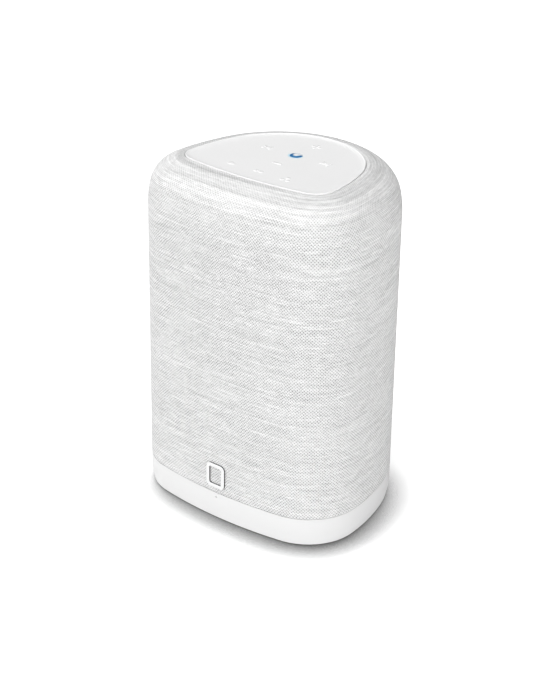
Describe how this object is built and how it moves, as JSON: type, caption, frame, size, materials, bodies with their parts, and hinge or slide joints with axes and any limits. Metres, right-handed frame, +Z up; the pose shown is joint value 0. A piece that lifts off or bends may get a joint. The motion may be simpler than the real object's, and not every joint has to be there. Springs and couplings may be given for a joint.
{
  "type": "smart speaker",
  "caption": "Fabric-covered smart speaker with a rounded triangular body, a touch panel with a light ring on top and a connector recess low on the back.",
  "frame": {"origin": "centre of the footprint, on the surface that the speaker stands on", "axes": "+Z up, -Y out of the front (badge side), +X to the right of someone who faces the speaker's front"},
  "size_m": [0.174, 0.1512, 0.25],
  "materials": {
    "fabric": "light grey and white melange knit, matt",
    "white_shell": "white moulded plastic with a fine texture",
    "panel_white": "satin white moulded plastic, polished rim",
    "touch_white": "gloss white plastic",
    "light_blue": "translucent blue light ring",
    "badge_white": "gloss white plastic",
    "dark_plastic": "black moulded plastic",
    "button_grey": "grey moulded plastic",
    "rubber": "black rubber",
    "steel": "zinc plated steel",
    "ferrite": "ferrite, dark grey",
    "aluminium": "bare aluminium",
    "copper": "enamelled copper winding",
    "circuit_green": "green circuit board",
    "ribbon": "white flat cable",
    "led": "clear light source",
    "paper": "black pressed paper",
    "silk": "treated cloth"
  },
  "bodies": {
    "speaker": {"acoustic_wadding": "silk", "amplifier_heat_sink": "aluminium", "audio_socket": "dark_plastic", "base_skirt": "white_shell", "board_screws": "steel", "bottom_cover": "dark_plastic", "bottom_screws": "steel", "cabinet_body": "dark_plastic", "cabinet_bottom_cap": "dark_plastic", "cabinet_top_cap": "dark_plastic", "connector_tray": "white_shell", "fabric_sleeve": "fabric", "filter_capacitors": "aluminium", "foot_pad": "rubber", "front_badge": "badge_white", "grille_shell": "white_shell", "left_tweeter_faceplate": "dark_plastic", "left_tweeter_motor": "steel", "main_board": "circuit_green", "mains_inlet": "dark_plastic", "mains_inlet_pins": "steel", "mains_transformer_core": "ferrite", "mains_transformer_winding": "copper", "microphone_capsule": "steel", "microphone_gasket": "rubber", "network_module": "steel", "network_socket": "dark_plastic", "play_touch_pad": "touch_white", "right_tweeter_faceplate": "dark_plastic", "right_tweeter_motor": "steel", "service_usb_socket": "steel", "service_usb_tongue": "dark_plastic", "setup_switch": "dark_plastic", "status_light_ring": "light_blue", "status_light_source": "led", "top_panel": "panel_white", "touch_ribbon_cable": "ribbon", "touch_sensor_board": "circuit_green", "wireless_antennas": "circuit_green", "woofer_basket": "dark_plastic", "woofer_gasket": "rubber", "woofer_magnet": "ferrite", "woofer_pole_and_back_plate": "steel", "woofer_screws": "steel", "woofer_spider": "silk", "woofer_surround": "rubber", "woofer_top_plate": "steel"},
    "woofer_moving_parts": {"woofer_cone": "paper", "woofer_dust_cap": "paper", "woofer_voice_coil": "copper"},
    "left_tweeter_moving_parts": {"left_tweeter_dome": "silk"},
    "right_tweeter_moving_parts": {"right_tweeter_dome": "silk"},
    "setup_button_cap": {"setup_button": "button_grey"}
  },
  "joints": [
    {"name": "woofer_stroke", "type": "slide", "parent": "speaker", "child": "woofer_moving_parts", "axis": [0, -1, 0], "range_m": [-0.004, 0.004], "stiffness_N_per_m": 1500, "deforming": ["woofer_surround", "woofer_spider"]},
    {"name": "left_tweeter_stroke", "type": "slide", "parent": "speaker", "child": "left_tweeter_moving_parts", "axis": [0, -1, 0], "range_m": [-0.0003, 0.0003], "stiffness_N_per_m": 300},
    {"name": "right_tweeter_stroke", "type": "slide", "parent": "speaker", "child": "right_tweeter_moving_parts", "axis": [0, -1, 0], "range_m": [-0.0003, 0.0003], "stiffness_N_per_m": 300},
    {"name": "setup_button_press", "type": "slide", "parent": "speaker", "child": "setup_button_cap", "axis": [0, -1, 0], "range_m": [0, 0.0008], "stiffness_N_per_m": 400}
  ],
  "couplings": [
    {"joint": "right_tweeter_stroke", "follows": "left_tweeter_stroke", "ratio": 1}
  ]
}
